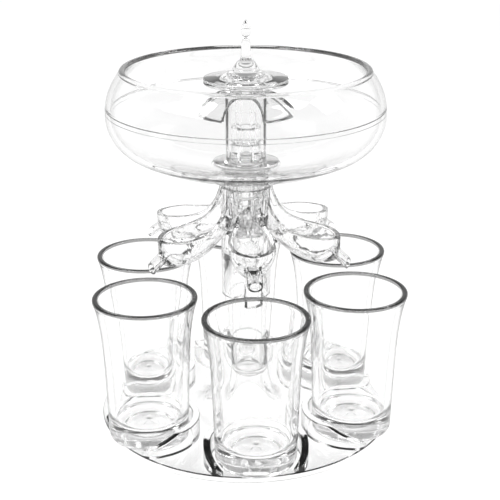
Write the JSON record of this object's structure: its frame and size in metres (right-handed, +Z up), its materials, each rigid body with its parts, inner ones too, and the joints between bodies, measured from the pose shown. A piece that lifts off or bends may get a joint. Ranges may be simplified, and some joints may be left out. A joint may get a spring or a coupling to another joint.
{
  "type": "party shot dispenser",
  "caption": "Clear dispenser with a bowl on a column: a lift-up drop valve lets drink run through a six-way diverter into shot glasses standing on a round plate",
  "frame": {"origin": "bottom centre of the round base plate", "axes": "+Z up, the front glass towards -Y"},
  "size_m": [0.151, 0.1666, 0.2016],
  "materials": {
    "clear_acrylic": "polished",
    "shot_glass": "polished",
    "clear_silicone": "satin"
  },
  "bodies": {
    "base": {"base_plate": "clear_acrylic", "column_tube": "clear_acrylic", "diverter": "clear_acrylic"},
    "bowl": {"bowl_lower": "clear_acrylic", "bowl_collar": "clear_acrylic", "outlet_gasket": "clear_silicone", "valve_tube": "clear_acrylic", "shank_o_ring": "clear_silicone", "lock_nut": "clear_acrylic", "nut_washer": "clear_silicone", "petal_umbrella": "clear_acrylic", "tube_cap": "clear_acrylic"},
    "valve": {"valve_rod": "clear_acrylic", "rod_guide": "clear_acrylic", "stopper": "clear_acrylic", "stopper_seal": "clear_silicone", "knob_base": "clear_acrylic", "splash_cap": "clear_acrylic"},
    "glass_front": {"shot_glass_front": "shot_glass"},
    "glass_front_right": {"shot_glass_front_right": "shot_glass"},
    "glass_back_right": {"shot_glass_back_right": "shot_glass"},
    "glass_back": {"shot_glass_back": "shot_glass"},
    "glass_back_left": {"shot_glass_back_left": "shot_glass"},
    "glass_front_left": {"shot_glass_front_left": "shot_glass"}
  },
  "joints": [
    {"name": "valve_lift", "type": "slide", "parent": "bowl", "child": "valve", "axis": [0, 0, 1], "range_m": [0, 0.008]},
    {"name": "bowl_lift", "type": "slide", "parent": "base", "child": "bowl", "axis": [0, 0, 1], "range_m": [0, 0.03]},
    {"name": "glass_out_front", "type": "slide", "parent": "base", "child": "glass_front", "axis": [0, -0.8988, 0.4384], "range_m": [0, 0.051]},
    {"name": "glass_out_front_right", "type": "slide", "parent": "base", "child": "glass_front_right", "axis": [0.7784, -0.4494, 0.4384], "range_m": [0, 0.051]},
    {"name": "glass_out_back_right", "type": "slide", "parent": "base", "child": "glass_back_right", "axis": [0.7784, 0.4494, 0.4384], "range_m": [0, 0.051]},
    {"name": "glass_out_back", "type": "slide", "parent": "base", "child": "glass_back", "axis": [0, 0.8988, 0.4384], "range_m": [0, 0.051]},
    {"name": "glass_out_back_left", "type": "slide", "parent": "base", "child": "glass_back_left", "axis": [-0.7784, 0.4494, 0.4384], "range_m": [0, 0.051]},
    {"name": "glass_out_front_left", "type": "slide", "parent": "base", "child": "glass_front_left", "axis": [-0.7784, -0.4494, 0.4384], "range_m": [0, 0.051]}
  ]
}
